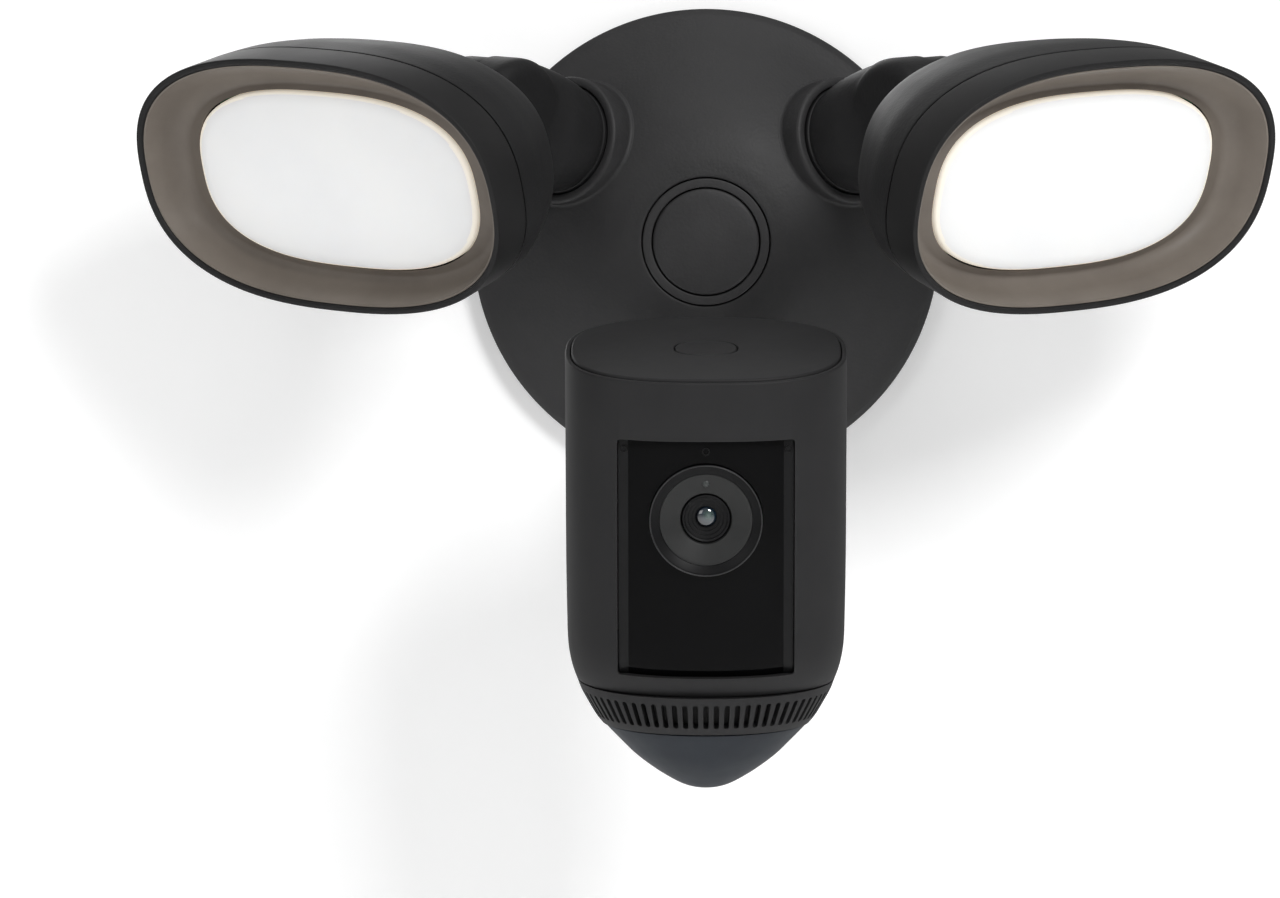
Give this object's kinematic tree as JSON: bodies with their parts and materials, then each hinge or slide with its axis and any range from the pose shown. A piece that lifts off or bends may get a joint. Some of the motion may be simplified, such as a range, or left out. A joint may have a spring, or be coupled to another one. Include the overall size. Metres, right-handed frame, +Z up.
{
  "type": "floodlight security camera",
  "caption": "Outdoor wall light with swivelling oval flood heads and a hanging motion camera with a domed sensor tip.",
  "frame": {"origin": "middle of the back of the round base, on the wall", "axes": "+X to the right as seen from in front, +Y into the wall, +Z up"},
  "size_m": [0.2832, 0.1507, 0.1941],
  "materials": {
    "dark_paint": "dark satin powder coat with a fine texture",
    "dark_plastic": "fine matt grain",
    "gloss_black": "polished",
    "cap_plastic": "fine grain",
    "button_plastic": "satin",
    "steel": "zinc plated",
    "casting": "as cast",
    "seal": "matt",
    "foam": "closed cell foam",
    "board": "green solder mask",
    "connector": "moulded",
    "opal": "opal diffuser",
    "warm_grey": "satin",
    "cone_grey": "matt",
    "lens_trim": "satin",
    "lens": "coated glass",
    "led": "clear epoxy",
    "dome": "translucent dark polymer"
  },
  "bodies": {
    "base": {"base_housing": "dark_paint", "wall_gasket": "foam", "wall_bracket": "steel", "bracket_screw_left": "steel", "bracket_screw_right": "steel", "centre_bolt": "steel", "cap_ring": "dark_plastic", "power_board": "board", "terminal_block": "connector", "camera_neck": "dark_paint", "neck_screw_left": "steel", "neck_screw_right": "steel", "pan_pin": "steel"},
    "cap": {"centre_cap": "cap_plastic"},
    "left_arm": {"left_swivel_arm": "dark_paint", "left_pivot_pin": "steel", "left_retainer": "steel"},
    "left_head": {"left_rear_shell": "dark_paint", "left_bezel": "dark_plastic", "left_head_gasket": "seal", "left_reflector": "warm_grey", "left_diffuser": "opal", "left_led_board": "board", "left_heat_sink": "casting"},
    "right_arm": {"right_swivel_arm": "dark_paint", "right_pivot_pin": "steel", "right_retainer": "steel"},
    "right_head": {"right_rear_shell": "dark_paint", "right_bezel": "dark_plastic", "right_head_gasket": "seal", "right_reflector": "warm_grey", "right_diffuser": "opal", "right_led_board": "board", "right_heat_sink": "casting"},
    "pan_link": {"pan_link": "dark_paint"},
    "camera": {"rear_bracket": "dark_plastic", "tilt_pin": "steel", "body_shell": "dark_plastic", "top_cover": "dark_plastic", "button_board": "board", "window": "gloss_black", "lens_ring": "lens_trim", "lens_cone": "cone_grey", "lens_barrel": "dark_plastic", "lens_glass": "lens", "sensor_board": "board", "status_led": "led", "chassis": "casting", "main_board": "board", "speaker_grille": "dark_plastic", "speaker": "dark_plastic", "pir_dome": "dome", "pir_board": "board"},
    "button": {"setup_button": "button_plastic"}
  },
  "joints": [
    {"name": "left_swivel", "type": "hinge", "parent": "base", "child": "left_arm", "pos_m": [-0.0365, -0.019, 0.026], "axis": [-0.5762, -0.796, 0.1857], "range_deg": [-60, 60]},
    {"name": "left_tilt", "type": "hinge", "parent": "left_arm", "child": "left_head", "pos_m": [-0.05298, -0.04176, 0.03131], "axis": [0.7984, -0.5967, -0.0805], "range_deg": [-50, 15]},
    {"name": "right_swivel", "type": "hinge", "parent": "base", "child": "right_arm", "pos_m": [0.0365, -0.019, 0.026], "axis": [-0.5762, 0.796, -0.1857], "range_deg": [-60, 60]},
    {"name": "right_tilt", "type": "hinge", "parent": "right_arm", "child": "right_head", "pos_m": [0.05298, -0.04176, 0.03131], "axis": [0.7984, 0.5967, 0.0805], "range_deg": [-50, 15]},
    {"name": "camera_pan", "type": "hinge", "parent": "base", "child": "pan_link", "pos_m": [0, -0.048, -0.046], "axis": [0, 0, 1], "range_deg": [-35, 35]},
    {"name": "camera_tilt", "type": "hinge", "parent": "pan_link", "child": "camera", "pos_m": [0, -0.0715, -0.052], "axis": [1, 0, 0], "range_deg": [-12, 22]},
    {"name": "setup_press", "type": "slide", "parent": "camera", "child": "button", "axis": [0, 0.165, -0.9863], "range_m": [0, 0.0008], "stiffness_N_per_m": 500, "springref_m": -0.0003},
    {"name": "cap_pull", "type": "slide", "parent": "base", "child": "cap", "axis": [0, -1, 0], "range_m": [0, 0.02]}
  ]
}
